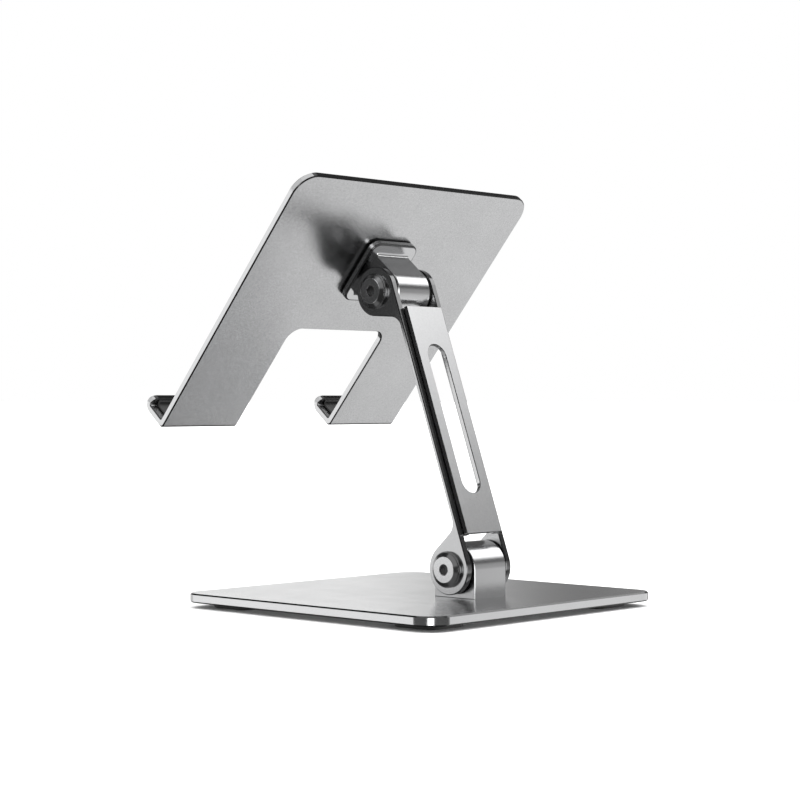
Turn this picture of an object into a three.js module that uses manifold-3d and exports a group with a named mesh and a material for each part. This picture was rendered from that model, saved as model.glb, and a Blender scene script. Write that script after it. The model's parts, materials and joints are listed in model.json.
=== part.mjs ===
// Folding tablet stand: a weighted base plate, a two-cheek arm and a bent tablet plate,
// joined by two friction hinges that turn about the X axis.
// Millimetres, +Z up, +X to the user's right, the tablet faces -Y.

import * as THREE from 'three';
import { mergeVertices } from 'three/addons/utils/BufferGeometryUtils.js';
import Module from 'manifold-3d';

const wasm = await Module();
wasm.setup();

// ---------------------------------------------------------------- driving dimensions

// Clearances
const SEAT_GAP = 0.3; // between two pieces that are clamped together inside a turned group
const SIDE_GAP = 0.05; // on each face of a washer in a hinge stack
const HOLE_GAP = 0.15; // radial, around a shank, a sleeve or a screw
const OVERRUN = 2; // how far a cutter runs past the face that it cuts

// Base
const BASE_WIDTH = 145;
const BASE_DEPTH = 145;
const BASE_THICKNESS = 4;
const BASE_CORNER_RADIUS = 10;
const BASE_CHAMFER = 0.4;
const FOOT_SIZE = 22;
const FOOT_CORNER_RADIUS = 5;
const FOOT_HEIGHT = 2.4;
const FOOT_MARGIN = 8.7; // from the edge of the base to the foot

// Lower hinge, whose knuckle stands on the base
const LOWER_SETBACK = 28.5; // from the middle of the base to the axis
const LOWER_AXIS_RISE = 12; // from the top of the base to the axis
const LOWER_KNUCKLE_RADIUS = 11.1;
const BASE_SCREW_SPREAD = 13; // between the two screws that hold the knuckle

// Arm
const ARM_CENTRES = 124.2; // between the two hinge axes
const ARM_LEAN = THREE.MathUtils.degToRad(19.8); // from upright towards the tablet side
const CHEEK_GAP = 22; // between the inner faces of the cheeks
const CHEEK_THICKNESS = 3;
const CHEEK_CHAMFER = 0.35;
const EAR_RADIUS = 10.6;
const BAR_DEPTH = 1.75;
const NECK_ANGLE = THREE.MathUtils.degToRad(23); // of the flank between an ear and the bar
const NECK_FILLET = 6;
const WEB_THICKNESS = 1.85;
const WEB_END_GAP = 11.5; // from a hinge axis to the end of the web
const WEB_SLOT_LENGTH = 66.4;
const WEB_SLOT_WIDTH = 11.2;
const LEDGE_WIDTH = 3.4; // inward flange of a cheek that carries the web
const WEB_SCREW_INSET = 8; // from the end of the web to a web screw
const WEB_SCREW_EDGE = 1.85; // from the inner face of a cheek to a web screw

// Hinge hardware
const SHANK_RADIUS = 2.5;
const SLEEVE_RADIUS = 3.5;
const BOLT_FACE_RADIUS = 5.42;
const BOLT_RIM_RADIUS = 7.1;
const BOLT_HEAD_HEIGHT = 1.35;
const RIM_HEIGHT = 0.25; // of the cylindrical rim under the cone of a head, and of a washer's chamfer
const HINGE_WASHER_RADIUS = 7.55;
const HINGE_WASHER_THICKNESS = 1.45;
const HEX_KEY_FLATS = 4;
const HEX_KEY_DEPTH = 2.4;
const FRICTION_WASHER_RADIUS = 9;
const FRICTION_WASHER_THICKNESS = 1;
const DISC_SPRING_SHELL = 0.8;

// Head bracket
const HEAD_TILT = THREE.MathUtils.degToRad(49.6); // of the tablet plate, from level
const UPPER_KNUCKLE_RADIUS = 10.4;
const FLANGE_WIDTH = 28.4;
const FLANGE_LENGTH = 31;
const FLANGE_RISE = 0.5; // of the middle of the flange above the axis, along the slope
const FLANGE_THICKNESS = 3.6;
const FLANGE_CORNER_RADIUS = 4.5;
const FLANGE_CHAMFER = 0.7;
const BRACKET_SCREW_SPREAD_X = 17;
const BRACKET_SCREW_SPREAD_Z = 22;

// Tablet plate, bent from one sheet
const PLATE_WIDTH = 145;
const PLATE_LENGTH = 135.6; // along the slope, over the bend
const SHEET_THICKNESS = 3;
const PLATE_SETBACK = 16.2; // from the upper axis to the rear face
const PLATE_BELOW_AXIS = 91.4; // along the slope, down to the bottom bend
const PLATE_CORNER_RADIUS = 10;
const CUTOUT_WIDTH = 59;
const CUTOUT_HEIGHT = 57;
const CUTOUT_CORNER_RADIUS = 6.5;
const SHELF_REACH = 15.5; // from the rear face to the outside of the lip
const LIP_HEIGHT = 6.4; // from the underside of the shelf
const LIP_CORNER_RADIUS = 3.5;
const BOTTOM_BEND_RADIUS = 2;
const LIP_BEND_RADIUS = 4;
const INNER_BEND_RADIUS = 0.8;

// Silicone linings
const PAD_THICKNESS = 0.8;
const LINER_MARGIN = 0.6; // from the edge of the metal to the hook liner
const REST_PAD_WIDTH = 110;
const REST_PAD_CORNER_RADIUS = 6;
const REST_PAD_TOP_MARGIN = 14; // from the top edge of the plate
const REST_PAD_CUTOUT_MARGIN = 16.6; // from the top of the cut-out

// Screws, countersunk
const BASE_SCREW = { radius: 2, headRadius: 3.8, headHeight: 1.9, keyFlats: 2.5 };
const BRACKET_SCREW = { radius: 1.5, headRadius: 2.8, headHeight: 1.4, keyFlats: 2 };
const WEB_SCREW = { radius: 0.8, headRadius: 1.4, headHeight: 0.7, keyFlats: 0.9 };
const BASE_SCREW_BITE = 7.5; // into the pivot block
const BRACKET_SCREW_WALL = 1.6; // of the flange, left in front of a screw's end
const WEB_SCREW_WALL = 0.8; // of the web, left in front of a screw's end
const SCREW_RECESS = 0.1; // of a countersunk head below its face
const SCREW_KEY_SHARE = 0.8; // of the head height, for the depth of the key socket
const SCREW_TIP_SHARE = 0.2; // of the shank radius, for the chamfer of the tip

// Tessellation
const ARC_SEGMENTS = 6;
const ROUND_SEGMENTS = 28;
const SCREW_SEGMENTS = 12;
const WELD_TOLERANCE = 1e-4;

// ---------------------------------------------------------------- derived places

const FLOOR_TO_BASE_TOP = FOOT_HEIGHT + BASE_THICKNESS;
const LOWER_AXIS_HEIGHT = FLOOR_TO_BASE_TOP + LOWER_AXIS_RISE;
const CHEEK_INNER = CHEEK_GAP / 2;
const CHEEK_OUTER = CHEEK_INNER + CHEEK_THICKNESS;
const CHEEK_MIDDLE = CHEEK_INNER + CHEEK_THICKNESS / 2;
const KNUCKLE_WIDTH = CHEEK_GAP - 2 * (FRICTION_WASHER_THICKNESS + 2 * SIDE_GAP);
const FRICTION_WASHER_MIDDLE = CHEEK_INNER - SIDE_GAP - FRICTION_WASHER_THICKNESS / 2;
const HINGE_WASHER_MIDDLE = CHEEK_OUTER + SIDE_GAP + HINGE_WASHER_THICKNESS / 2;
const BOLT_SEAT = CHEEK_OUTER + 2 * SIDE_GAP + HINGE_WASHER_THICKNESS;
const SLEEVE_HOLE_RADIUS = SLEEVE_RADIUS + HOLE_GAP;
const BAR_FRONT = EAR_RADIUS - BAR_DEPTH;
const WEB_LENGTH = ARM_CENTRES - 2 * WEB_END_GAP;
const WEB_WIDTH = CHEEK_GAP;
const WEB_FRONT = EAR_RADIUS + SEAT_GAP;
const WEB_SCREW_X = CHEEK_INNER - WEB_SCREW_EDGE;
const PLATE_REAR = -PLATE_SETBACK;
const PLATE_FRONT = PLATE_REAR - SHEET_THICKNESS;
const PLATE_BOTTOM = -PLATE_BELOW_AXIS;
const PLATE_TOP = PLATE_BOTTOM + PLATE_LENGTH;
const LIP_FRONT = PLATE_REAR - SHELF_REACH;
const LIP_REAR = LIP_FRONT + SHEET_THICKNESS;
const SHELF_TOP = PLATE_BOTTOM + SHEET_THICKNESS;
const LIP_TOP = PLATE_BOTTOM + LIP_HEIGHT;
const LEG_WIDTH = (PLATE_WIDTH - CUTOUT_WIDTH) / 2;
const LEG_MIDDLE = (CUTOUT_WIDTH + LEG_WIDTH) / 2;
const FLANGE_FRONT = PLATE_REAR + SEAT_GAP;
const FLANGE_REAR = PLATE_REAR + FLANGE_THICKNESS;
const BOLT_FACE = BOLT_SEAT + BOLT_HEAD_HEIGHT;
const SLEEVE_END = CHEEK_OUTER - SIDE_GAP;
const SLEEVE_FLOOR = CHEEK_INNER - FRICTION_WASHER_THICKNESS;
const REST_PAD_HEIGHT = PLATE_LENGTH - CUTOUT_HEIGHT - REST_PAD_TOP_MARGIN - REST_PAD_CUTOUT_MARGIN;
const SIDES = { left: -1, right: 1 };

BASE_SCREW.length = BASE_THICKNESS + BASE_SCREW_BITE;
BRACKET_SCREW.length = SHEET_THICKNESS + FLANGE_THICKNESS - BRACKET_SCREW_WALL;
WEB_SCREW.length = BAR_DEPTH + SEAT_GAP + WEB_THICKNESS - WEB_SCREW_WALL;

// ---------------------------------------------------------------- solid helpers

function toSolid(geometry) {
  const bare = geometry.clone();
  bare.deleteAttribute('normal');
  bare.deleteAttribute('uv');
  const welded = mergeVertices(bare, WELD_TOLERANCE);
  const corners = welded.index.array;
  const triangles = [];
  for (let i = 0; i < corners.length; i += 3) {
    const [a, b, c] = [corners[i], corners[i + 1], corners[i + 2]];
    const hasArea = a !== b && b !== c && c !== a;
    if (hasArea) triangles.push(a, b, c);
  }
  const mesh = new wasm.Mesh({
    numProp: 3,
    vertProperties: new Float32Array(welded.attributes.position.array),
    triVerts: new Uint32Array(triangles),
  });
  return new wasm.Manifold(mesh);
}

function toGeometry(solid) {
  const mesh = solid.getMesh();
  const geometry = new THREE.BufferGeometry();
  geometry.setAttribute('position', new THREE.BufferAttribute(mesh.vertProperties, 3));
  geometry.setIndex(new THREE.BufferAttribute(mesh.triVerts, 1));
  geometry.computeVertexNormals();
  return geometry;
}

function combine(geometry, others, operation) {
  let solid = toSolid(geometry);
  for (const other of others) {
    solid = solid[operation](toSolid(other));
  }
  return toGeometry(solid);
}

const cut = (geometry, ...cutters) => combine(geometry, cutters, 'subtract');
const join = (geometry, ...additions) => combine(geometry, additions, 'add');
const keepInside = (geometry, ...limits) => combine(geometry, limits, 'intersect');

// A prism of the shape, centred along Z, with its two rims chamfered
function prism(shape, length, chamfer = 0) {
  const geometry = new THREE.ExtrudeGeometry(shape, {
    depth: length - 2 * chamfer,
    steps: 1,
    curveSegments: ARC_SEGMENTS,
    bevelEnabled: chamfer > 0,
    bevelThickness: chamfer,
    bevelSize: chamfer,
    bevelOffset: -chamfer,
    bevelSegments: 1,
  });
  return geometry.translate(0, 0, chamfer - length / 2);
}

// Turns a shape drawn in (y, z) and extruded along its own axis so that it runs along X
function alongX(geometry) {
  const x = new THREE.Vector3(1, 0, 0);
  const y = new THREE.Vector3(0, 1, 0);
  const z = new THREE.Vector3(0, 0, 1);
  return geometry.applyMatrix4(new THREE.Matrix4().makeBasis(y, z, x));
}

// Turns a shape drawn in (x, z) and extruded along its own axis so that it runs along Y
function alongY(geometry) {
  return geometry.rotateX(Math.PI / 2);
}

// A turned piece about X: profile points are (distance along X, radius)
function turnedAlongX(profile) {
  const points = profile.map(([along, radius]) => new THREE.Vector2(radius, along));
  return new THREE.LatheGeometry(points, ROUND_SEGMENTS).rotateZ(-Math.PI / 2);
}

function rodAlongX(radius, length) {
  return new THREE.CylinderGeometry(radius, radius, length, ROUND_SEGMENTS).rotateZ(Math.PI / 2);
}

function roundedRectangle(width, height, radius) {
  const x = width / 2 - radius;
  const y = height / 2 - radius;
  const shape = new THREE.Shape();
  shape.absarc(x, -y, radius, -Math.PI / 2, 0);
  shape.absarc(x, y, radius, 0, Math.PI / 2);
  shape.absarc(-x, y, radius, Math.PI / 2, Math.PI);
  shape.absarc(-x, -y, radius, Math.PI, 1.5 * Math.PI);
  shape.closePath();
  return shape;
}

function hexagon(flats) {
  const shape = new THREE.Shape();
  const radius = flats / Math.sqrt(3);
  for (let i = 0; i < 6; i += 1) {
    const angle = Math.PI / 2 + (i * Math.PI) / 3;
    shape[i ? 'lineTo' : 'moveTo'](radius * Math.cos(angle), radius * Math.sin(angle));
  }
  shape.closePath();
  return shape;
}

// ---------------------------------------------------------------- materials

function metal(name, color, roughness) {
  return new THREE.MeshStandardMaterial({ name, color, roughness, metalness: 1 });
}

const blastedAluminium = () => metal('blasted_aluminium', 0xb4b5b7, 0.42);
const satinAluminium = () => metal('satin_aluminium', 0xbcbdbf, 0.28);
const polishedSteel = () => metal('polished_steel', 0xc8c9cb, 0.18);
const springSteel = () => metal('spring_steel', 0x77797c, 0.35);
const blackSteel = () => metal('black_steel', 0x2c2d2f, 0.4);

function silicone() {
  return new THREE.MeshStandardMaterial({
    name: 'silicone', color: 0x26272a, roughness: 0.75, metalness: 0,
  });
}

function wearPlastic() {
  return new THREE.MeshStandardMaterial({
    name: 'wear_plastic', color: 0x3c3d40, roughness: 0.5, metalness: 0,
  });
}

function place(parent, name, geometry, material, position = [0, 0, 0]) {
  const mesh = new THREE.Mesh(geometry, material);
  mesh.name = name;
  mesh.position.set(...position);
  parent.add(mesh);
  return mesh;
}

// ---------------------------------------------------------------- countersunk screws

// Head face at z = 0, shank down to -length, with a hexagon key socket
function countersunkScrew({ radius, headRadius, headHeight, length, keyFlats }) {
  const tip = radius * SCREW_TIP_SHARE;
  const profile = [
    new THREE.Vector2(0, -length),
    new THREE.Vector2(radius - tip, -length),
    new THREE.Vector2(radius, -length + tip),
    new THREE.Vector2(radius, -headHeight),
    new THREE.Vector2(headRadius, 0),
    new THREE.Vector2(0, 0),
  ];
  const body = new THREE.LatheGeometry(profile, SCREW_SEGMENTS).rotateX(Math.PI / 2);
  const keyDepth = headHeight * SCREW_KEY_SHARE;
  const key = prism(hexagon(keyFlats), keyDepth + OVERRUN);
  return cut(body, key.translate(0, 0, (OVERRUN - keyDepth) / 2));
}

// The hole that such a screw sits in, with its clearance all round
function countersunkHole({ radius, headRadius, headHeight, length }) {
  const hole = radius + HOLE_GAP;
  const mouth = headRadius + HOLE_GAP + SCREW_RECESS;
  const profile = [
    new THREE.Vector2(0, -length - SEAT_GAP),
    new THREE.Vector2(hole, -length - SEAT_GAP),
    new THREE.Vector2(hole, -headHeight),
    new THREE.Vector2(mouth, SCREW_RECESS),
    new THREE.Vector2(mouth, OVERRUN),
    new THREE.Vector2(0, OVERRUN),
  ];
  return new THREE.LatheGeometry(profile, SCREW_SEGMENTS).rotateX(Math.PI / 2);
}

// ---------------------------------------------------------------- base

const baseScrewPlaces = [-1, 1].map((side) => [
  0,
  LOWER_SETBACK + (side * BASE_SCREW_SPREAD) / 2,
  FOOT_HEIGHT + SCREW_RECESS,
]);

function baseScrewHole([x, y, z]) {
  return countersunkHole(BASE_SCREW).rotateX(Math.PI).translate(x, y, z);
}

function basePlate() {
  const outline = roundedRectangle(BASE_WIDTH, BASE_DEPTH, BASE_CORNER_RADIUS);
  const plate = prism(outline, BASE_THICKNESS, BASE_CHAMFER);
  plate.translate(0, 0, FOOT_HEIGHT + BASE_THICKNESS / 2);
  return cut(plate, ...baseScrewPlaces.map(baseScrewHole));
}

function foot() {
  const outline = roundedRectangle(FOOT_SIZE, FOOT_SIZE, FOOT_CORNER_RADIUS);
  return prism(outline, FOOT_HEIGHT);
}

// A block with straight flanks and a half-round end about the hinge axis at (0, 0)
function knuckleOutline(radius, reach) {
  const shape = new THREE.Shape();
  shape.moveTo(-radius, -reach);
  shape.lineTo(radius, -reach);
  shape.absarc(0, 0, radius, 0, Math.PI);
  shape.closePath();
  return shape;
}

function sleeveBore(length) {
  return rodAlongX(SLEEVE_HOLE_RADIUS, length);
}

function pivotBlock() {
  const outline = knuckleOutline(LOWER_KNUCKLE_RADIUS, LOWER_AXIS_RISE);
  const block = alongX(prism(outline, KNUCKLE_WIDTH, CHEEK_CHAMFER));
  const bore = sleeveBore(KNUCKLE_WIDTH + OVERRUN);
  const holes = baseScrewPlaces.map((spot) => (
    baseScrewHole(spot).translate(0, -LOWER_SETBACK, -LOWER_AXIS_HEIGHT)
  ));
  return cut(block, bore, ...holes);
}

function buildBase(stand) {
  place(stand, 'base_plate', basePlate(), blastedAluminium());
  const footX = BASE_WIDTH / 2 - FOOT_MARGIN - FOOT_SIZE / 2;
  const footY = BASE_DEPTH / 2 - FOOT_MARGIN - FOOT_SIZE / 2;
  for (const [end, along] of Object.entries({ front: -1, rear: 1 })) {
    for (const [side, across] of Object.entries(SIDES)) {
      const spot = [across * footX, along * footY, FOOT_HEIGHT / 2];
      place(stand, `foot_${end}_${side}`, foot(), silicone(), spot);
    }
  }
  place(stand, 'pivot_block', pivotBlock(), satinAluminium(), [0, LOWER_SETBACK, LOWER_AXIS_HEIGHT]);
  baseScrewPlaces.forEach((spot, i) => {
    const screw = place(stand, `block_screw_${i + 1}`, countersunkScrew(BASE_SCREW), blackSteel(), spot);
    screw.rotation.x = Math.PI;
  });
}

// ---------------------------------------------------------------- hinge hardware

function keySocket() {
  const socket = alongX(prism(hexagon(HEX_KEY_FLATS), HEX_KEY_DEPTH + OVERRUN));
  return socket.translate(BOLT_FACE + (OVERRUN - HEX_KEY_DEPTH) / 2, 0, 0);
}

function hingeBolt() {
  const body = turnedAlongX([
    [-SLEEVE_FLOOR + SEAT_GAP, 0],
    [-SLEEVE_FLOOR + SEAT_GAP, SHANK_RADIUS],
    [BOLT_SEAT, SHANK_RADIUS],
    [BOLT_SEAT, BOLT_RIM_RADIUS],
    [BOLT_SEAT + RIM_HEIGHT, BOLT_RIM_RADIUS],
    [BOLT_FACE, BOLT_FACE_RADIUS],
    [BOLT_FACE, 0],
  ]);
  return cut(body, keySocket());
}

// The sleeve nut lies on the left: it is drawn on the right and turned half a turn about Z
function sleeveNut() {
  const body = turnedAlongX([
    [-SLEEVE_END, 0],
    [-SLEEVE_END, SLEEVE_RADIUS],
    [BOLT_SEAT, SLEEVE_RADIUS],
    [BOLT_SEAT, BOLT_RIM_RADIUS],
    [BOLT_SEAT + RIM_HEIGHT, BOLT_RIM_RADIUS],
    [BOLT_FACE, BOLT_FACE_RADIUS],
    [BOLT_FACE, 0],
  ]);
  const boreLength = SLEEVE_END + SLEEVE_FLOOR + OVERRUN;
  const bore = rodAlongX(SHANK_RADIUS + HOLE_GAP, boreLength);
  bore.translate(SLEEVE_FLOOR - boreLength / 2, 0, 0);
  return cut(body, bore, keySocket()).rotateZ(Math.PI);
}

function ring(outerRadius, innerRadius, thickness, chamfer = 0) {
  const half = thickness / 2;
  return turnedAlongX([
    [-half, innerRadius],
    [-half, outerRadius],
    [half - chamfer, outerRadius],
    [half, outerRadius - chamfer],
    [half, innerRadius],
    [-half, innerRadius],
  ]);
}

// A slightly coned washer that keeps the hinge clamped: as high as the flat one opposite
function discSpring() {
  const half = HINGE_WASHER_THICKNESS / 2;
  const hole = SLEEVE_HOLE_RADIUS;
  return turnedAlongX([
    [half - DISC_SPRING_SHELL, hole],
    [-half, HINGE_WASHER_RADIUS - DISC_SPRING_SHELL / 2],
    [-half, HINGE_WASHER_RADIUS],
    [-half + DISC_SPRING_SHELL, HINGE_WASHER_RADIUS],
    [half, hole + DISC_SPRING_SHELL],
    [half, hole],
    [half - DISC_SPRING_SHELL, hole],
  ]).rotateZ(Math.PI);
}

function frictionWasher() {
  return ring(FRICTION_WASHER_RADIUS, SLEEVE_HOLE_RADIUS, FRICTION_WASHER_THICKNESS);
}

function flatWasher() {
  return ring(HINGE_WASHER_RADIUS, SHANK_RADIUS + HOLE_GAP, HINGE_WASHER_THICKNESS, RIM_HEIGHT);
}

// One hinge's bolt, sleeve nut and washers, about X at the given height of the arm
function buildHinge(arm, level, height) {
  const at = (x) => [x, 0, height];
  place(arm, `${level}_hinge_bolt`, hingeBolt(), polishedSteel(), at(0));
  place(arm, `${level}_sleeve_nut`, sleeveNut(), polishedSteel(), at(0));
  place(arm, `${level}_flat_washer`, flatWasher(), polishedSteel(), at(HINGE_WASHER_MIDDLE));
  place(arm, `${level}_disc_spring`, discSpring(), springSteel(), at(-HINGE_WASHER_MIDDLE));
  for (const [side, sign] of Object.entries(SIDES)) {
    const name = `${level}_friction_washer_${side}`;
    place(arm, name, frictionWasher(), wearPlastic(), at(sign * FRICTION_WASHER_MIDDLE));
  }
}

// ---------------------------------------------------------------- arm

// Front edge of the neck at the lower ear: a flank tangent to the ear, then a fillet to the bar
function neckPoints() {
  const flankStart = {
    y: -EAR_RADIUS * Math.sin(NECK_ANGLE),
    z: EAR_RADIUS * Math.cos(NECK_ANGLE),
  };
  const rise = (BAR_FRONT - flankStart.y) * Math.tan(NECK_ANGLE);
  const corner = flankStart.z + rise;
  const turn = Math.PI / 2 - NECK_ANGLE;
  const tangent = NECK_FILLET * Math.tan(turn / 2);
  return {
    flankStart,
    filletCentre: { y: BAR_FRONT - NECK_FILLET, z: corner + tangent },
  };
}

// Outline in (y, z): y is the distance behind the line of the two axes, z runs along the arm
function cheekOutline() {
  const { filletCentre } = neckPoints();
  const shape = new THREE.Shape();
  const upperCentre = ARM_CENTRES - filletCentre.z;
  shape.moveTo(EAR_RADIUS, 0);
  shape.absarc(0, ARM_CENTRES, EAR_RADIUS, 0, 1.5 * Math.PI - NECK_ANGLE);
  shape.absarc(filletCentre.y, upperCentre, NECK_FILLET, Math.PI / 2 - NECK_ANGLE, 0, true);
  shape.absarc(filletCentre.y, filletCentre.z, NECK_FILLET, 0, NECK_ANGLE - Math.PI / 2, true);
  shape.absarc(0, 0, EAR_RADIUS, Math.PI / 2 + NECK_ANGLE, 2 * Math.PI);
  return shape;
}

const webScrewPlaces = [];
for (const x of [-WEB_SCREW_X, WEB_SCREW_X]) {
  for (const end of [-1, 1]) {
    const along = WEB_LENGTH / 2 - WEB_SCREW_INSET;
    webScrewPlaces.push([x, BAR_FRONT + SCREW_RECESS, ARM_CENTRES / 2 + end * along]);
  }
}

// The web screws are driven from the tablet side, so their heads face -Y
function webScrewHole([x, y, z]) {
  return countersunkHole(WEB_SCREW).rotateX(Math.PI / 2).translate(x, y, z);
}

function cheek(sign) {
  const plate = alongX(prism(cheekOutline(), CHEEK_THICKNESS, CHEEK_CHAMFER));
  plate.translate(sign * CHEEK_MIDDLE, 0, 0);
  const rootDepth = CHEEK_THICKNESS / 2;
  const ledge = new THREE.BoxGeometry(LEDGE_WIDTH + rootDepth, BAR_DEPTH, WEB_LENGTH);
  const ledgeX = CHEEK_INNER - LEDGE_WIDTH + (LEDGE_WIDTH + rootDepth) / 2;
  ledge.translate(sign * ledgeX, BAR_FRONT + BAR_DEPTH / 2, ARM_CENTRES / 2);
  const bores = [0, ARM_CENTRES].map((height) => (
    sleeveBore(CHEEK_THICKNESS + OVERRUN).translate(sign * CHEEK_MIDDLE, 0, height)
  ));
  const screws = webScrewPlaces.filter(([x]) => x * sign > 0).map(webScrewHole);
  return cut(join(plate, ledge), ...bores, ...screws);
}

function web() {
  const outline = roundedRectangle(WEB_WIDTH, WEB_LENGTH, CHEEK_CHAMFER);
  const plate = alongY(prism(outline, WEB_THICKNESS));
  plate.translate(0, WEB_FRONT + WEB_THICKNESS / 2, ARM_CENTRES / 2);
  const slotOutline = roundedRectangle(WEB_SLOT_WIDTH, WEB_SLOT_LENGTH, WEB_SLOT_WIDTH / 2);
  const slot = alongY(prism(slotOutline, WEB_THICKNESS + OVERRUN));
  slot.translate(0, WEB_FRONT + WEB_THICKNESS / 2, ARM_CENTRES / 2);
  return cut(plate, slot, ...webScrewPlaces.map(webScrewHole));
}

function buildArm(arm) {
  for (const [side, sign] of Object.entries(SIDES)) {
    place(arm, `${side}_cheek`, cheek(sign), satinAluminium());
  }
  place(arm, 'arm_web', web(), blastedAluminium());
  webScrewPlaces.forEach((spot, i) => {
    const screw = place(arm, `web_screw_${i + 1}`, countersunkScrew(WEB_SCREW), blackSteel(), spot);
    screw.rotation.x = Math.PI / 2;
  });
  buildHinge(arm, 'lower', 0);
  buildHinge(arm, 'upper', ARM_CENTRES);
}

// ---------------------------------------------------------------- head

const bracketScrewPlaces = [];
for (const x of [-1, 1]) {
  for (const z of [-1, 1]) {
    bracketScrewPlaces.push([
      (x * BRACKET_SCREW_SPREAD_X) / 2,
      PLATE_FRONT + SCREW_RECESS,
      (z * BRACKET_SCREW_SPREAD_Z) / 2,
    ]);
  }
}

function bracketScrewHole([x, y, z]) {
  return countersunkHole(BRACKET_SCREW).rotateX(Math.PI / 2).translate(x, y, z);
}

// Knuckle between the cheeks and the flange that lies on the back of the tablet plate
function headBracket() {
  const flangeOutline = roundedRectangle(FLANGE_WIDTH, FLANGE_LENGTH, FLANGE_CORNER_RADIUS);
  const thickness = FLANGE_REAR - FLANGE_FRONT;
  const flange = alongY(prism(flangeOutline, thickness, FLANGE_CHAMFER));
  flange.translate(0, FLANGE_FRONT + thickness / 2, FLANGE_RISE);
  const reach = -FLANGE_REAR + FLANGE_THICKNESS / 2;
  const outline = knuckleOutline(UPPER_KNUCKLE_RADIUS, reach);
  const knuckle = alongX(prism(outline, KNUCKLE_WIDTH, CHEEK_CHAMFER)).rotateX(-Math.PI / 2);
  const bore = sleeveBore(KNUCKLE_WIDTH + OVERRUN);
  return cut(join(flange, knuckle), bore, ...bracketScrewPlaces.map(bracketScrewHole));
}

// Side profile in (y, z): the slope, the shelf and the lip, as one bent sheet
function sheetProfile() {
  const shape = new THREE.Shape();
  const bottom = BOTTOM_BEND_RADIUS;
  const front = LIP_BEND_RADIUS;
  const inner = INNER_BEND_RADIUS;
  shape.moveTo(PLATE_REAR, PLATE_TOP);
  shape.lineTo(PLATE_FRONT, PLATE_TOP);
  shape.absarc(PLATE_FRONT - inner, SHELF_TOP + inner, inner, 0, -Math.PI / 2, true);
  shape.absarc(LIP_REAR + inner, SHELF_TOP + inner, inner, -Math.PI / 2, -Math.PI, true);
  shape.lineTo(LIP_REAR, LIP_TOP);
  shape.lineTo(LIP_FRONT, LIP_TOP);
  shape.absarc(LIP_FRONT + front, PLATE_BOTTOM + front, front, Math.PI, 1.5 * Math.PI);
  shape.absarc(PLATE_REAR - bottom, PLATE_BOTTOM + bottom, bottom, -Math.PI / 2, 0);
  shape.closePath();
  return shape;
}

// Front outline in (x, z): two round top corners and the cut-out between the two legs
function plateOutline() {
  const x = PLATE_WIDTH / 2;
  const corner = PLATE_CORNER_RADIUS;
  const cutX = CUTOUT_WIDTH / 2;
  const cutTop = PLATE_BOTTOM + CUTOUT_HEIGHT;
  const inner = CUTOUT_CORNER_RADIUS;
  const below = PLATE_BOTTOM - OVERRUN;
  const shape = new THREE.Shape();
  shape.moveTo(cutX, below);
  shape.lineTo(x, below);
  shape.absarc(x - corner, PLATE_TOP - corner, corner, 0, Math.PI / 2);
  shape.absarc(-x + corner, PLATE_TOP - corner, corner, Math.PI / 2, Math.PI);
  shape.lineTo(-x, below);
  shape.lineTo(-cutX, below);
  shape.absarc(-cutX + inner, cutTop - inner, inner, Math.PI, Math.PI / 2, true);
  shape.absarc(cutX - inner, cutTop - inner, inner, Math.PI / 2, 0, true);
  shape.closePath();
  return shape;
}

// What is cut off a lip's top corner: a square corner outside a quarter circle
function lipCornerCutter(x, sign) {
  const r = LIP_CORNER_RADIUS;
  const shape = new THREE.Shape();
  shape.moveTo(OVERRUN, -r);
  shape.lineTo(OVERRUN, OVERRUN);
  shape.lineTo(-r, OVERRUN);
  shape.absarc(-r, -r, r, Math.PI / 2, 0, true);
  shape.closePath();
  const cutter = alongY(prism(shape, SHEET_THICKNESS + OVERRUN));
  if (sign < 0) cutter.rotateZ(Math.PI);
  return cutter.translate(x, (LIP_FRONT + LIP_REAR) / 2, LIP_TOP);
}

function tabletPlate() {
  const sheet = alongX(prism(sheetProfile(), PLATE_WIDTH));
  const depth = SHELF_REACH + OVERRUN;
  const outline = alongY(prism(plateOutline(), depth));
  outline.translate(0, PLATE_REAR - SHELF_REACH / 2, 0);
  const corners = [];
  for (const sign of [-1, 1]) {
    corners.push(lipCornerCutter((sign * PLATE_WIDTH) / 2, sign));
    corners.push(lipCornerCutter((sign * CUTOUT_WIDTH) / 2, -sign));
  }
  const holes = bracketScrewPlaces.map(bracketScrewHole);
  return cut(keepInside(sheet, outline), ...corners, ...holes);
}

// Silicone strip along the shelf and up the inside of the lip
function hookLiner() {
  const shelf = SHELF_TOP + SEAT_GAP;
  const lip = LIP_REAR + SEAT_GAP;
  const shape = new THREE.Shape();
  shape.moveTo(PLATE_FRONT - SEAT_GAP, shelf);
  shape.lineTo(PLATE_FRONT - SEAT_GAP, shelf + PAD_THICKNESS);
  shape.lineTo(lip + PAD_THICKNESS, shelf + PAD_THICKNESS);
  shape.lineTo(lip + PAD_THICKNESS, LIP_TOP - LINER_MARGIN);
  shape.lineTo(lip, LIP_TOP - LINER_MARGIN);
  shape.lineTo(lip, shelf + INNER_BEND_RADIUS);
  shape.lineTo(lip + INNER_BEND_RADIUS, shelf);
  shape.closePath();
  return alongX(prism(shape, LEG_WIDTH - 2 * LIP_CORNER_RADIUS));
}

function restPad() {
  const outline = roundedRectangle(REST_PAD_WIDTH, REST_PAD_HEIGHT, REST_PAD_CORNER_RADIUS);
  return alongY(prism(outline, PAD_THICKNESS));
}

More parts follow.
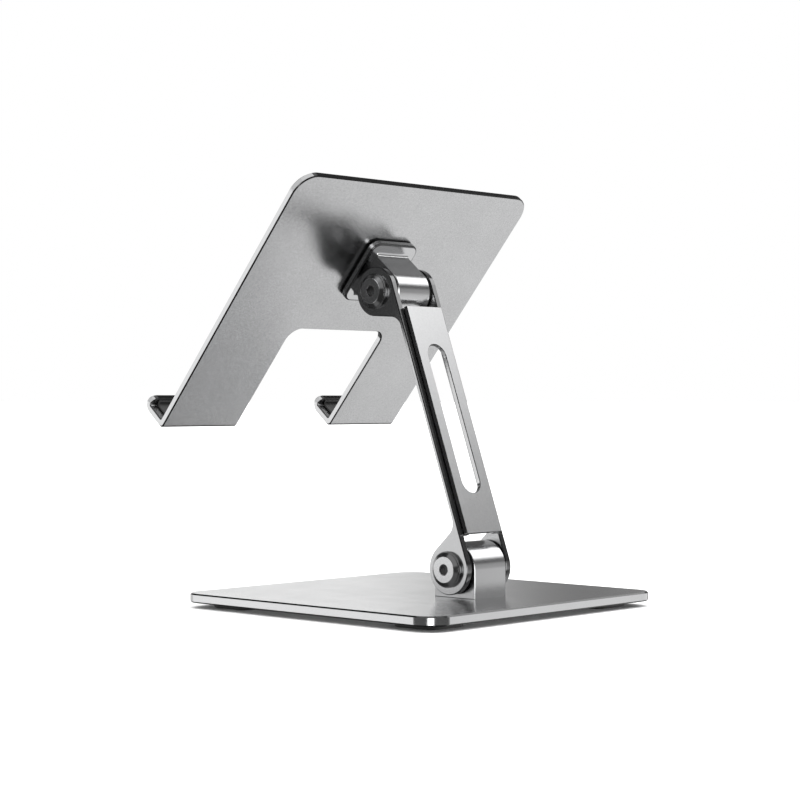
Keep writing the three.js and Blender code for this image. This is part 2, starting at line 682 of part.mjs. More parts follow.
function buildHead(head) {
  place(head, 'head_bracket', headBracket(), satinAluminium());
  place(head, 'tablet_plate', tabletPlate(), blastedAluminium());
  bracketScrewPlaces.forEach((spot, i) => {
    const name = `bracket_screw_${i + 1}`;
    const screw = place(head, name, countersunkScrew(BRACKET_SCREW), blackSteel(), spot);
    screw.rotation.x = Math.PI / 2;
  });
  for (const [side, sign] of Object.entries(SIDES)) {
    place(head, `hook_liner_${side}`, hookLiner(), silicone(), [sign * LEG_MIDDLE, 0, 0]);
  }
  const padY = PLATE_FRONT - SEAT_GAP - PAD_THICKNESS / 2;
  const padZ = PLATE_TOP - REST_PAD_TOP_MARGIN - REST_PAD_HEIGHT / 2;
  place(head, 'rest_pad', restPad(), silicone(), [0, padY, padZ]);
}

// ---------------------------------------------------------------- assembly

const stand = new THREE.Group();
const frame = new THREE.Group();
const arm = new THREE.Group();
const head = new THREE.Group();
stand.add(frame);
frame.add(arm);
arm.add(head);

arm.position.set(0, LOWER_SETBACK, LOWER_AXIS_HEIGHT);
arm.rotation.x = ARM_LEAN;
head.position.set(0, 0, ARM_CENTRES);
head.rotation.x = HEAD_TILT - Math.PI / 2 - ARM_LEAN;

buildBase(frame);
buildArm(arm);
buildHead(head);

// The origin is the middle of the whole stand's footprint, on the surface that it stands on
stand.updateMatrixWorld(true);
const bounds = new THREE.Box3().setFromObject(stand, true);
frame.position.y = -(bounds.min.y + bounds.max.y) / 2;
frame.position.z = -bounds.min.z;

export default stand;
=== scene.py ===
import json
import math

import bmesh
import bpy
from mathutils import Matrix, Vector
from mathutils.geometry import tessellate_polygon


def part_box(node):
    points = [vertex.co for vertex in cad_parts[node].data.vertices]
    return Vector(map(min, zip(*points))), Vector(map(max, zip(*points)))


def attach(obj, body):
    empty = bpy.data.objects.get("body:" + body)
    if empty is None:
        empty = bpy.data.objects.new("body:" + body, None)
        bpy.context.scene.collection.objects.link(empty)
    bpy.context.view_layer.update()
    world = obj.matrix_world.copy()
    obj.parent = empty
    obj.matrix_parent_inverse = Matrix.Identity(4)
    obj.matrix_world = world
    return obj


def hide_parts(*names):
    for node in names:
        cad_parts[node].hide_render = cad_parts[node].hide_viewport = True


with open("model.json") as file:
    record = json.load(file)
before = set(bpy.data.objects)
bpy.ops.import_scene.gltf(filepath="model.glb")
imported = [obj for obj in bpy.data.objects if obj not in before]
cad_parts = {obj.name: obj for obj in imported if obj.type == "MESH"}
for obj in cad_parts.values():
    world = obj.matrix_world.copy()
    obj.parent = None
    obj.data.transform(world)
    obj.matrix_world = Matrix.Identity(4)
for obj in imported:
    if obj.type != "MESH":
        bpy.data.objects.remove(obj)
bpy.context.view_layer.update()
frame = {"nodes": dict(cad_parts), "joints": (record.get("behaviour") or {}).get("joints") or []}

MM = 0.001

# ------------------------------------------------------------------ places, from the frame

joints = {j["name"]: j for j in frame["joints"]}
LOWER = Vector(joints["arm_tilt"]["pos_m"])
UPPER = Vector(joints["head_tilt"]["pos_m"])
ARM_LENGTH = (UPPER - LOWER).length / MM
ARM_ALONG = (UPPER - LOWER).normalized()
HEAD_TILT = math.radians(49.6)  # of the tablet plate, from level


def local_frame(origin, along):
    """Axes of a turned group: local x is the row's X, z runs along the group, y is behind it."""
    x = Vector((1, 0, 0))
    y = along.cross(x)
    columns = Matrix((x * MM, y * MM, along * MM)).transposed().to_4x4()
    return Matrix.Translation(origin) @ columns


ARM = local_frame(LOWER, ARM_ALONG)
HEAD = local_frame(UPPER, Vector((0, math.cos(HEAD_TILT), math.sin(HEAD_TILT))))
PIVOT = local_frame(LOWER, Vector((0, 0, 1)))
base_low, base_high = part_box("base_plate")
BASE_CENTRE = Vector(((base_low.x + base_high.x) / 2, (base_low.y + base_high.y) / 2, base_low.z))
BASE = Matrix.Translation(BASE_CENTRE) @ Matrix.Scale(MM, 4)

# ------------------------------------------------------------------ sizes, in millimetres

OVERRUN = 0.1  # of a cutter past the face that it cuts
MERGE = 1e-5  # points of a solid nearer than this are one
SEAT_GAP, SIDE_GAP = 0.3, 0.05  # under a clamped piece, and on each face of a hinge washer

# Base and feet
BASE_WIDTH, BASE_THICKNESS, BASE_CORNER, BASE_CHAMFER = 145, 4, 10, 0.6
FOOT_SIZE, FOOT_CORNER, FOOT_HEIGHT, FOOT_PLACE = 22, 5, 2.4, 52.8
FOOT_LEVELS = (  # (inset from the outline, height): a soft rim, then a groove round the tread
    (0, FOOT_HEIGHT), (0, 0.7), (0.2, 0.25), (0.7, 0), (2.0, 0), (2.3, 0.35), (2.9, 0.35), (3.2, 0),
)

# Knuckles
AXIS_RISE, LOWER_RADIUS, UPPER_RADIUS, KNUCKLE_WIDTH = 12, 11.1, 10.4, 19.8
BORE, BORE_RIM, BLOCK_CHAMFER = 3.65, 0.2, 0.2

# Arm
CHEEK_INNER, CHEEK_THICKNESS, EAR_RADIUS, BAR_DEPTH = 11, 3, 10.6, 1.75
CHEEK_CHAMFER, NECK_ANGLE, NECK_FILLET, CHEEK_BORE_RIM = 0.35, math.radians(23), 6, 0.15
BAR_FRONT = EAR_RADIUS - BAR_DEPTH
LEDGE_WIDTH = 3.4
WEB_THICKNESS, WEB_END_GAP, WEB_CORNER, WEB_RIM = 1.85, 11.5, 0.35, 0.15
SLOT_LENGTH, SLOT_WIDTH, SLOT_RIM = 66.4, 11.2, 0.25
WEB_MIDDLE = ARM_LENGTH / 2
WEB_HALF = WEB_MIDDLE - WEB_END_GAP

# Hinge hardware, as (distance from the middle of the hinge, radius) where there are two numbers
SHANK = (9.7, 2.5)
SLEEVE = (13.95, 3.5)
SLEEVE_BORE = (10, 2.65)
TIP_CHAMFER = 0.3
WASHER_RADIUS, WASHER_THICKNESS = 7.55, 1.45
WASHER_INNER = CHEEK_INNER + CHEEK_THICKNESS + SIDE_GAP
WASHER_OUTER = WASHER_INNER + WASHER_THICKNESS
SEAT = WASHER_OUTER + SIDE_GAP  # of a head on its washer or spring
FACE = SEAT + 1.35
HEAD_RADIUS, HEAD_RIM, HEAD_FACE_RADIUS = 7.1, 0.25, 5.46
RIM_BREAK, FACE_BREAK = (0.1, 0.12), (0.06, 0.12)  # of the head's sharp edges: (along, across)
LEAD_RADIUS, LEAD_DEPTH, SOCKET_ACROSS, SOCKET_DEPTH = 2.42, 0.15, 4, 2.4
FRICTION_RADIUS, FRICTION_THICKNESS, FRICTION_CHAMFER = 9, 1, 0.15

# Head bracket
FLANGE_WIDTH, FLANGE_LENGTH, FLANGE_CORNER, FLANGE_RIM = 28.4, 31, 4.5, 0.75
FLANGE_RISE, FLANGE_FRONT, FLANGE_REAR = 0.5, -15.9, -12.6
ROOT_FILLET, ROOT_DEPTH = 1.5, 1.2  # the knuckle goes that far into the flange

# Tablet plate
PLATE_WIDTH, PLATE_CORNER, SHEET = 145, 10, 3
PLATE_REAR, PLATE_BOTTOM, PLATE_TOP = -16.2, -91.4, 44.2
PLATE_FRONT = PLATE_REAR - SHEET
CUTOUT_WIDTH, CUTOUT_TOP, CUTOUT_CORNER = 59, -34.4, 6.5
LIP_FRONT, LIP_TOP, LIP_CORNER = -31.7, -85, 3.5
BOTTOM_BEND, LIP_BEND, INNER_BEND = 2, 4, 0.8
SHEET_RIM = 0.5

# Silicone on the tablet plate
PAD_THICKNESS, PAD_WIDTH, PAD_HEIGHT, PAD_CORNER = 0.8, 110, 48, 6
PAD_TOP_MARGIN, PAD_RIM = 14, 0.3
LINER_TOP_GAP, LINER_INNER_BEND, LINER_RIM = 0.6, 1, 0.12

# Places of the countersunk screws, and their cutters: (distance along the screw, radius)
BASE_SCREW_Y = 6.5
BASE_SCREW_CUTTER = ((-2, 0), (-2, 4.1), (0.1, 4.0), (1.9, 2.15), (8, 2.15), (8, 0))
WEB_SCREW_X, WEB_SCREW_INSET = 9.15, 8
WEB_SCREW_ENDS = (
    WEB_MIDDLE - WEB_HALF + WEB_SCREW_INSET,
    WEB_MIDDLE + WEB_HALF - WEB_SCREW_INSET,
)
WEB_SCREW_CUTTER = ((-3.4, 0), (-3.4, 0.95), (-0.7, 0.95), (0.1, 1.65), (3, 1.65), (3, 0))
BRACKET_SCREWS = [(x, z) for x in (-8.5, 8.5) for z in (-11, 11)]
BRACKET_SCREW_CUTTER = ((-5.3, 0), (-5.3, 1.65), (-1.4, 1.65), (0.1, 3.05), (3, 3.05), (3, 0))

# ------------------------------------------------------------------ camera

CAMERA_PLACE = Vector((0.6312, 0.5874, 0.0891))
CAMERA_AZIMUTH, CAMERA_PITCH = math.radians(132.96), math.radians(-0.03)
CAMERA_LENS, CAMERA_SENSOR, CAMERA_NEAR = 89.56, 36, 0.01
camera_data = bpy.data.cameras.new("camera")
camera_data.lens = CAMERA_LENS
camera_data.sensor_width = CAMERA_SENSOR
camera_data.clip_start = CAMERA_NEAR
camera = bpy.data.objects.new("camera", camera_data)
bpy.context.scene.collection.objects.link(camera)
camera.location = CAMERA_PLACE
camera.rotation_euler = (math.radians(90) + CAMERA_PITCH, 0, CAMERA_AZIMUTH)
bpy.context.scene.camera = camera

# ------------------------------------------------------------------ outlines


def arc(cx, cy, radius, start, end, steps):
    """Points on a circle from start to end, in degrees, both ends included."""
    points = []
    for i in range(steps + 1):
        a = math.radians(start + (end - start) * i / steps)
        points.append((cx + radius * math.cos(a), cy + radius * math.sin(a)))
    return points


def rounded_rectangle(width, height, radius, steps):
    """Anticlockwise about the origin, with steps segments in each corner."""
    x, y = width / 2 - radius, height / 2 - radius
    places = ((x, -y, -90), (x, y, 0), (-x, y, 90), (-x, -y, 180))
    return [p for cx, cy, a in places for p in arc(cx, cy, radius, a, a + 90, steps)]


def circle(radius, steps=64, cx=0, cy=0):
    return arc(cx, cy, radius, 0, 360, steps)[:-1]


SHARPEST = 0.3  # keeps an inset corner from running far out


def inset(loop, amount):
    """The closed loop moved to its left by amount: inwards where it runs anticlockwise."""
    moved, count = [], len(loop)
    for i in range(count):
        p, q, r = Vector(loop[i - 1]), Vector(loop[i]), Vector(loop[(i + 1) % count])
        a, b = (q - p).normalized(), (r - q).normalized()
        na, nb = Vector((-a.y, a.x)), Vector((-b.y, b.x))
        middle = (na + nb).normalized()
        moved.append(tuple(q + middle * amount / max(SHARPEST, middle.dot(na))))
    return moved


# ------------------------------------------------------------------ solids


class Solid:
    """A closed mesh that is put together from rings of points."""

    def __init__(self):
        self.bm = bmesh.new()

    def ring(self, points):
        return [self.bm.verts.new(p) for p in points]

    def bridge(self, a, b, material=0):
        for i in range(len(a)):
            j = (i + 1) % len(a)
            self.bm.faces.new((a[i], a[j], b[j], b[i])).material_index = material

    def cap(self, rings, material=0):
        """Closes the first ring, with the others as holes in it."""
        flat = [v for ring in rings for v in ring]
        for triangle in tessellate_polygon([[v.co for v in ring] for ring in rings]):
            self.bm.faces.new([flat[i] for i in triangle]).material_index = material

    def prism(self, outer, half, rim, holes=(), steps=1, wall=1, edge=2, hole_rim=None):
        """outer and holes are (x, y) loops, outer anticlockwise. They run along z from -half to
        half, with rims that are chamfered (steps 1) or round. The walls take the material wall,
        the rims edge, and the two faces 0."""
        ends = ([], [])
        for number, loop in enumerate((outer, *holes)):
            r = rim if number == 0 or hole_rim is None else hole_rim
            profile = []
            for k in range(steps + 1):
                a = math.radians(90 * k / steps)
                profile.append((r * (1 - math.sin(a)), half - r * (1 - math.cos(a))))
            profile += [(d, -z) for d, z in reversed(profile)]
            side = 1 if number == 0 else -1
            rings = []
            for d, z in profile:
                rings.append(self.ring([(x, y, z) for x, y in inset(loop, side * d)]))
            for k, (a, b) in enumerate(zip(rings, rings[1:])):
                self.bridge(a, b, wall if k == steps else edge)
            ends[0].append(rings[0])
            ends[1].append(rings[-1])
        for rings in ends:
            self.cap(rings)
        return self

    def turned(self, profile, steps=96):
        """Turns points (distance along z, radius) about z. They are a closed ring, or an open line
        whose two ends are on the axis."""
        rings = []
        for along, radius in profile:
            flat = circle(radius, steps)
            rings.append(self.ring([(x, y, along) for x, y in flat]) if radius else None)
        closed = rings[0] is not None
        for a, b in zip(rings, rings[1:] + rings[:1] if closed else rings[1:]):
            if a is None:
                self.cap([b])
            elif b is None:
                self.cap([a])
            else:
                self.bridge(a, b)
        return self

    def move(self, matrix):
        self.bm.transform(matrix)
        return self

    def object(self, name, materials):
        """Ends the solid: its faces take the materials by their numbers."""
        bmesh.ops.remove_doubles(self.bm, verts=self.bm.verts, dist=MERGE)
        bmesh.ops.recalc_face_normals(self.bm, faces=self.bm.faces)
        mesh = bpy.data.meshes.new(name)
        for material in materials:
            mesh.materials.append(material)
        self.bm.to_mesh(mesh)
        self.bm.free()
        made = bpy.data.objects.new(name, mesh)
        bpy.context.scene.collection.objects.link(made)
        return made


ALONG_X = Matrix(((0, 0, 1), (1, 0, 0), (0, 1, 0))).to_4x4()  # drawn in (y, z), extruded along x
ALONG_Y = Matrix(((1, 0, 0), (0, 0, -1), (0, 1, 0))).to_4x4()  # drawn in (x, z), extruded along y


def boolean(target, cutters, operation):
    """Applies the cutters to the target, one after another, and removes them."""
    for cutter in cutters:
        modifier = target.modifiers.new("cut", "BOOLEAN")
        modifier.operation = operation
        modifier.solver = "EXACT"
        modifier.object = cutter
        bpy.context.view_layer.update()
        graph = bpy.context.evaluated_depsgraph_get()
        mesh = bpy.data.meshes.new_from_object(target.evaluated_get(graph))
        target.modifiers.clear()
        target.data = mesh
        bpy.data.objects.remove(cutter)


SEAM_TURN = math.radians(3)  # an edge between two materials is sharp if it turns more than this
RIM_TURN = math.radians(1.5)  # and so is one between a large face and a small one
RIM_RATIO = 40  # of their areas


def soften(obj, angle):
    """Smooth shading. Edges that turn more than the angle, in degrees, stay sharp, and so do seams
    between materials and the rims of flat faces."""
    bm = bmesh.new()
    bm.from_mesh(obj.data)
    bmesh.ops.remove_doubles(bm, verts=bm.verts, dist=MERGE * MM)
    limit = math.radians(angle)
    for face in bm.faces:
        face.smooth = True
    for edge in bm.edges:
        if len(edge.link_faces) != 2:
            continue
        a, b = edge.link_faces
        turn = edge.calc_face_angle(0)
        small, large = sorted((a.calc_area(), b.calc_area()))
        seam = a.material_index != b.material_index and turn > SEAM_TURN
        rim = turn > RIM_TURN and large > RIM_RATIO * small
        edge.smooth = not (turn > limit or seam or rim)
    bm.to_mesh(obj.data)
    bm.free()


def finish_piece(obj, matrix, body, replaced, angle=32):
    """Puts a piece drawn in millimetres in its place, where it replaces a node of the CAD model."""
    obj.data.transform(matrix)
    soften(obj, angle)
    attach(obj, body)
    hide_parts(replaced)


# ------------------------------------------------------------------ materials


def set_range(node, start, end, low, high):
    """Has a Map Range node take start..end to low..high."""
    for key, number in zip(("From Min", "From Max", "To Min", "To Max"), (start, end, low, high)):
        node.inputs[key].default_value = number


class Nodes:
    """A material's node tree, with short ways to add and join nodes."""

    def __init__(self, name):
        self.material = bpy.data.materials.new(name)
        self.material.use_nodes = True
        self.tree = self.material.node_tree
        self.shader = self.tree.nodes["Principled BSDF"]

    def add(self, kind, **values):
        node = self.tree.nodes.new(kind)
        for key, value in values.items():
            setattr(node, key, value)
        return node

    def link(self, a, b):
        self.tree.links.new(a, b)

    def noise(self, scale, detail, rough=0.55, stretch=(1, 1, 1)):
        coordinates = self.add("ShaderNodeTexCoord")
        mapping = self.add("ShaderNodeMapping")
        mapping.inputs["Scale"].default_value = stretch
        noise = self.add("ShaderNodeTexNoise")
        noise.inputs["Scale"].default_value = scale
        noise.inputs["Detail"].default_value = detail
        noise.inputs["Roughness"].default_value = rough
        self.link(coordinates.outputs["Object"], mapping.inputs["Vector"])
        self.link(mapping.outputs["Vector"], noise.inputs["Vector"])
        return noise.outputs["Fac"]

    def spread(self, value, low, high, start=0.3, end=0.7):
        """Maps a noise value from start..end to low..high."""
        node = self.add("ShaderNodeMapRange")
        set_range(node, start, end, low, high)
        self.link(value, node.inputs["Value"])
        return node.outputs["Result"]

    def sum(self, *values):
        total = values[0]
        for value in values[1:]:
            node = self.add("ShaderNodeMath", operation="ADD")
            self.link(total, node.inputs[0])
            self.link(value, node.inputs[1])
            total = node.outputs[0]
        return total

    def colour(self, value, dark, light):
        ramp = self.add("ShaderNodeValToRGB")
        ramp.color_ramp.elements[0].color = (*dark, 1)
        ramp.color_ramp.elements[1].color = (*light, 1)
        self.link(value, ramp.inputs["Fac"])
        self.link(ramp.outputs["Color"], self.shader.inputs["Base Color"])

    def bump(self, height, distance):
        bump = self.add("ShaderNodeBump")
        bump.inputs["Distance"].default_value = distance
        bump.inputs["Strength"].default_value = 1.0
        self.link(height, bump.inputs["Height"])
        self.link(bump.outputs["Normal"], self.shader.inputs["Normal"])


def grey(value, tint=0.0):
    """A grey that leans to blue by the tint."""
    return (value, value * (1 + tint * 0.3), value * (1 + tint))


CLOUD_SCALE, SMEAR_SCALE, DUST_SCALE = 35, 60, 420  # of the slow noises, per metre


def metal(
    name, tone, roughness, grain_scale, grain_height,
    stretch=(1, 1, 1), spread=0.05, cloud=0.02, tint=0.012,
):
    """Metal with a fine grain, faint clouds in its tone, and handling marks in its roughness.
    The grain's scale is per metre, and its height in metres. The roughness varies by spread, and
    the tone by cloud."""
    n = Nodes(name)
    n.shader.inputs["Metallic"].default_value = 1.0
    grain = n.noise(grain_scale, 4, 0.6, stretch)
    clouds = n.noise(CLOUD_SCALE, 4, 0.6)
    smears = n.noise(SMEAR_SCALE, 2, 0.5)
    tone_value = n.sum(n.spread(grain, 0.0, 0.8), n.spread(clouds, 0.0, 0.2))
    n.colour(tone_value, grey(tone - cloud, tint), grey(tone + cloud, tint))
    rough = n.sum(
        n.spread(grain, roughness - spread / 2, roughness + spread / 2),
        n.spread(smears, -spread / 6, spread / 6),
    )
    n.link(rough, n.shader.inputs["Roughness"])
    n.bump(grain, grain_height)
    return n.material


def polymer(name, tone, roughness, grain_scale, grain_height, sheen=0.0):
    """Dark rubber or plastic with a moulded grain and a little dust."""
    n = Nodes(name)
    grain = n.noise(grain_scale, 3, 0.6)
    dust = n.noise(DUST_SCALE, 4, 0.6)
    tone_value = n.sum(n.spread(grain, 0, 0.6), n.spread(dust, 0, 0.4))
    n.colour(tone_value, grey(tone * 0.85), grey(tone * 1.25))
    n.link(n.spread(dust, roughness - 0.04, roughness + 0.04), n.shader.inputs["Roughness"])
    n.shader.inputs["Sheen Weight"].default_value = sheen
    n.bump(grain, grain_height)
    return n.material


BLASTED = metal("blasted_aluminium", 0.48, 0.24, 1300, 0.000015, spread=0.05, cloud=0.08)
BLASTED_WEB = metal("blasted_web", 0.52, 0.30, 1300, 0.000008, spread=0.04, cloud=0.04)
SIDE = metal("milled_side", 0.54, 0.15, 2400, 0.000006, spread=0.05, cloud=0.02)
# painted shade: the cheeks' rim walls are the same milled aluminium, darkened to tone 0.15 to stand
# for the dark they reflect
PAINTED_SHADE_CHEEK_RIM = metal("cheek_rim_painted_shade", 0.15, 0.17, 2400, 0.000006, spread=0.05, cloud=0.02)
FLANGE_SIDE = metal("flange_side", 0.46, 0.27, 2400, 0.000006, spread=0.05, cloud=0.02)
SATIN = metal(
    "satin_aluminium", 0.50, 0.20, 2600, 0.000006, stretch=(0.12, 1, 1), spread=0.06, cloud=0.016
)
TURNED = metal(
    "turned_aluminium", 0.50, 0.21, 3000, 0.000004, stretch=(0.08, 1, 1), spread=0.05, cloud=0.016
)
# painted shade: chamfers, rounded rims and the plate's top edges are aluminium darkened to near
# black, painted for the dark lines they reflect
PAINTED_SHADE_EDGE = metal("painted_shade_edge", 0.08, 0.16, 1800, 0.000004, spread=0.06, cloud=0.015)
STEEL = metal("polished_steel", 0.62, 0.16, 2600, 0.000004, spread=0.07, cloud=0.03)
# painted shade: the heads' cones, socket lead-ins and flat washers are the same steel darkened to
# 0.16 for the dark they reflect
PAINTED_SHADE_STEEL = metal("painted_shade_steel", 0.16, 0.13, 2600, 0.000004, spread=0.05, cloud=0.02)
STEEL_FACE = metal("satin_face", 0.62, 0.24, 2600, 0.000008, spread=0.06, cloud=0.02)
SOCKET = metal("socket_wall", 0.30, 0.30, 2600, 0.000008, spread=0.08, cloud=0.03)
SPRING = metal("spring_steel", 0.36, 0.26, 2600, 0.000006, spread=0.08, cloud=0.03, tint=0.03)
BLACK = metal("black_steel", 0.07, 0.38, 2600, 0.00001, spread=0.1, cloud=0.015)
SILICONE = polymer("silicone", 0.022, 0.62, 3200, 0.00002, sheen=0.05)
PLASTIC = polymer("wear_plastic", 0.035, 0.45, 2400, 0.00001)

# ------------------------------------------------------------------ base


def base_skin():
    outline = rounded_rectangle(BASE_WIDTH, BASE_WIDTH, BASE_CORNER, 20)
    solid = Solid().prism(outline, BASE_THICKNESS / 2, BASE_CHAMFER)
    solid.move(Matrix.Translation((0, 0, BASE_THICKNESS / 2)))
    # the chamfers take the painted-shade edge material, darkened to near black
    made = solid.object("base_plate_skin", [BLASTED, SIDE, PAINTED_SHADE_EDGE])
    pivot_y = (LOWER.y - BASE_CENTRE.y) / MM
    holes = []
    for side in (-1, 1):
        hole = Solid().turned(BASE_SCREW_CUTTER, 48)
        hole.move(Matrix.Translation((0, pivot_y + side * BASE_SCREW_Y, 0)))
        holes.append(hole.object("hole", [SIDE]))
    boolean(made, holes, "DIFFERENCE")
    finish_piece(made, BASE, "base", "base_plate")


def foot(end, side, x, y):
    """A moulded foot with a soft rim, and a shallow groove round its tread."""
    outline = rounded_rectangle(FOOT_SIZE, FOOT_SIZE, FOOT_CORNER, 10)
    solid = Solid()
    rings = [solid.ring([(px, py, z) for px, py in inset(outline, d)]) for d, z in FOOT_LEVELS]
    for a, b in zip(rings, rings[1:]):
        solid.bridge(a, b)
    solid.cap([rings[0]])
    solid.cap([rings[-1]])
    made = solid.object(f"foot_{end}_{side}_moulding", [SILICONE])
    place = BASE @ Matrix.Translation((x, y, -FOOT_HEIGHT))
    finish_piece(made, place, "base", f"foot_{end}_{side}", 40)


def knuckle_outline(radius, reach, fillet=0.0):
    """(y, z): flanks that rise from z = -reach to a half round about (0, 0), with a fillet at
    their foot if it is given."""
    points = arc(0, 0, radius, 0, 180, 48)
    if fillet:
        points += arc(-radius - fillet, fillet - reach, fillet, 0, -90, 8)
        points += arc(radius + fillet, fillet - reach, fillet, 270, 180, 8)
    else:
        points += [(-radius, -reach), (radius, -reach)]
    return points


def pivot_block():
    outline = knuckle_outline(LOWER_RADIUS, AXIS_RISE)
    solid = Solid().prism(outline, KNUCKLE_WIDTH / 2, BLOCK_CHAMFER, [circle(BORE)])
    made = solid.move(ALONG_X).object("pivot_block_skin", [SATIN, TURNED, SATIN])
    finish_piece(made, PIVOT, "base", "pivot_block", 20)


# ------------------------------------------------------------------ hinge hardware


def along_x(matrix, side):
    """Lays a piece that was turned about its own z along the X axis, pointing to that side."""
    return matrix @ Matrix.Rotation(math.radians(90 * side), 4, "Y")


def hinge_head(name, shank, bore=None):
    """A turned shank along z that ends in a head: rim, cone and face, with a hexagon socket that
    has a lead-in. The bore is open at the shank's end."""
    solid = Solid()
    length, radius = shank
    outside = [(-length, radius - TIP_CHAMFER), (-length + TIP_CHAMFER, radius), (SEAT, radius)]
    outside += [(SEAT, HEAD_RADIUS - RIM_BREAK[1]), (SEAT + RIM_BREAK[0], HEAD_RADIUS)]
    outside += [(SEAT + HEAD_RIM, HEAD_RADIUS), (FACE - FACE_BREAK[0], HEAD_FACE_RADIUS)]
    outside += [(FACE, HEAD_FACE_RADIUS - FACE_BREAK[1])]
    rings = [solid.ring([(x, y, z) for x, y in circle(r, 96)]) for z, r in outside]
    cone = rings[-3]
    for a, b in zip(rings, rings[1:]):
        # the cone, and the socket's lead-in below, take the steel darkened for painted shade
        solid.bridge(a, b, 1 if a is cone else 0)
    lead = solid.ring([(x, y, FACE) for x, y in circle(LEAD_RADIUS, 48)])
    solid.cap([rings[-1], lead], 2)
    socket = []
    for i in range(48):
        a = math.radians(360 * i / 48)
        reach = SOCKET_ACROSS / 2 / math.cos(a % math.radians(60) - math.radians(30))
        socket.append((reach * math.cos(a), reach * math.sin(a)))
    depths = (LEAD_DEPTH, SOCKET_DEPTH)
    top, floor = (solid.ring([(x, y, FACE - depth) for x, y in socket]) for depth in depths)
    solid.bridge(lead, top, 1)
    solid.bridge(top, floor, 3)
    solid.cap([floor], 3)
    if bore:
        ends = (-length, bore[0])
        mouth, end = (solid.ring([(x, y, z) for x, y in circle(bore[1], 96)]) for z in ends)
        solid.cap([rings[0], mouth])
        solid.bridge(mouth, end)
        solid.cap([end])
    else:
        solid.cap([rings[0]])
    return solid.object(name, [STEEL, PAINTED_SHADE_STEEL, STEEL_FACE, SOCKET])


def ring_piece(name, profile, material):
    return Solid().turned(profile).object(name, [material])


def washer_profile():
    """A flat ring whose outer face has a small step in its rim."""
    low, high, outer, bore = WASHER_INNER, WASHER_OUTER, WASHER_RADIUS, SLEEVE_BORE[1]
    points = [(low, bore), (low, outer - 0.25), (low + 0.25, outer), (high - 0.3, outer)]
    return points + [(high - 0.08, outer - 0.08), (high, outer - 0.25), (high, bore)]


def spring_profile():
    """A coned ring: its rim rests on the cheek, and the edge of its bore on the head."""
    low, high, outer = WASHER_INNER, WASHER_OUTER, WASHER_RADIUS
    points = [(high - 0.8, BORE), (low + 0.02, outer - 0.4), (low, outer - 0.2)]
    points += [(low, outer - 0.05), (low + 0.1, outer), (low + 0.7, outer)]
    points += [(low + 0.8, outer - 0.1), (high - 0.02, BORE + 0.9), (high, BORE + 0.7)]
    return points + [(high, BORE)]


def friction_profile():
    high = CHEEK_INNER - SIDE_GAP
    low = high - FRICTION_THICKNESS
    c, outer = FRICTION_CHAMFER, FRICTION_RADIUS
    points = [(low, BORE), (low, outer - c), (low + c, outer)]
    return points + [(high - c, outer), (high, outer - c), (high, BORE)]


def hinge(level, matrix):
    """The bolt on the right, the sleeve nut on the left, and the washers of one hinge."""
    right, left = along_x(matrix, 1), along_x(matrix, -1)
    bolt = hinge_head(f"{level}_bolt_turned", SHANK)
    finish_piece(bolt, right, "arm", f"{level}_hinge_bolt", 14)
    nut = hinge_head(f"{level}_sleeve_nut_turned", SLEEVE, SLEEVE_BORE)
    finish_piece(nut, left, "arm", f"{level}_sleeve_nut", 14)
    # the flat washer is the steel darkened for painted shade
    made = ring_piece(f"{level}_flat_washer_turned", washer_profile(), PAINTED_SHADE_STEEL)
    finish_piece(made, right, "arm", f"{level}_flat_washer", 18)
    made = ring_piece(f"{level}_disc_spring_pressed", spring_profile(), SPRING)
    finish_piece(made, left, "arm", f"{level}_disc_spring", 24)
    for side, place in (("left", left), ("right", right)):
        made = ring_piece(f"{level}_friction_disc_{side}", friction_profile(), PLASTIC)
        node = f"{level}_friction_washer_{side}"
        finish_piece(made, place, "arm", node, 24)


# ------------------------------------------------------------------ arm


def cheek_outline():
    """(y, z), anticlockwise: two ears, tangent flanks, and a straight bar behind the axes."""
    bar, angle = BAR_FRONT, NECK_ANGLE
    start_y = -EAR_RADIUS * math.sin(angle)
    start_z = EAR_RADIUS * math.cos(angle)
    corner = start_z + (bar - start_y) * math.tan(angle)
    centre = corner + NECK_FILLET * math.tan((math.pi / 2 - angle) / 2)
    turn = math.degrees(angle)
    points = arc(0, ARM_LENGTH, EAR_RADIUS, 0, 270 - turn, 56)
    points += arc(bar - NECK_FILLET, ARM_LENGTH - centre, NECK_FILLET, 90 - turn, 0, 12)
    points += arc(bar - NECK_FILLET, centre, NECK_FILLET, 0, turn - 90, 12)
    points += arc(0, 0, EAR_RADIUS, 90 + turn, 360, 56)
    return points


def box_solid(name, low, high, material):
    """A plain block between two corners."""
    solid = Solid()
    corners = [(low[0], low[1]), (high[0], low[1]), (high[0], high[1]), (low[0], high[1])]
    bottom = solid.ring([(x, y, low[2]) for x, y in corners])
    top = solid.ring([(x, y, high[2]) for x, y in corners])
    solid.bridge(bottom, top)
    solid.cap([bottom])
    solid.cap([top])
    return solid.object(name, [material])


def screw_cutter(profile, x, y, z, steps):
    """Cuts the hole of a countersunk screw along y, whose head lies at y on the front."""
    solid = Solid().turned(profile, steps)
    turn = Matrix.Rotation(math.radians(90), 4, "X")
    solid.move(Matrix.Translation((x, y + OVERRUN, z)) @ turn)
    return solid.object("cutter", [SATIN])


def web_screw_cutters(signs):
    places = [(sign * WEB_SCREW_X, z) for sign in signs for z in WEB_SCREW_ENDS]
    return [screw_cutter(WEB_SCREW_CUTTER, x, BAR_FRONT, z, 40) for x, z in places]


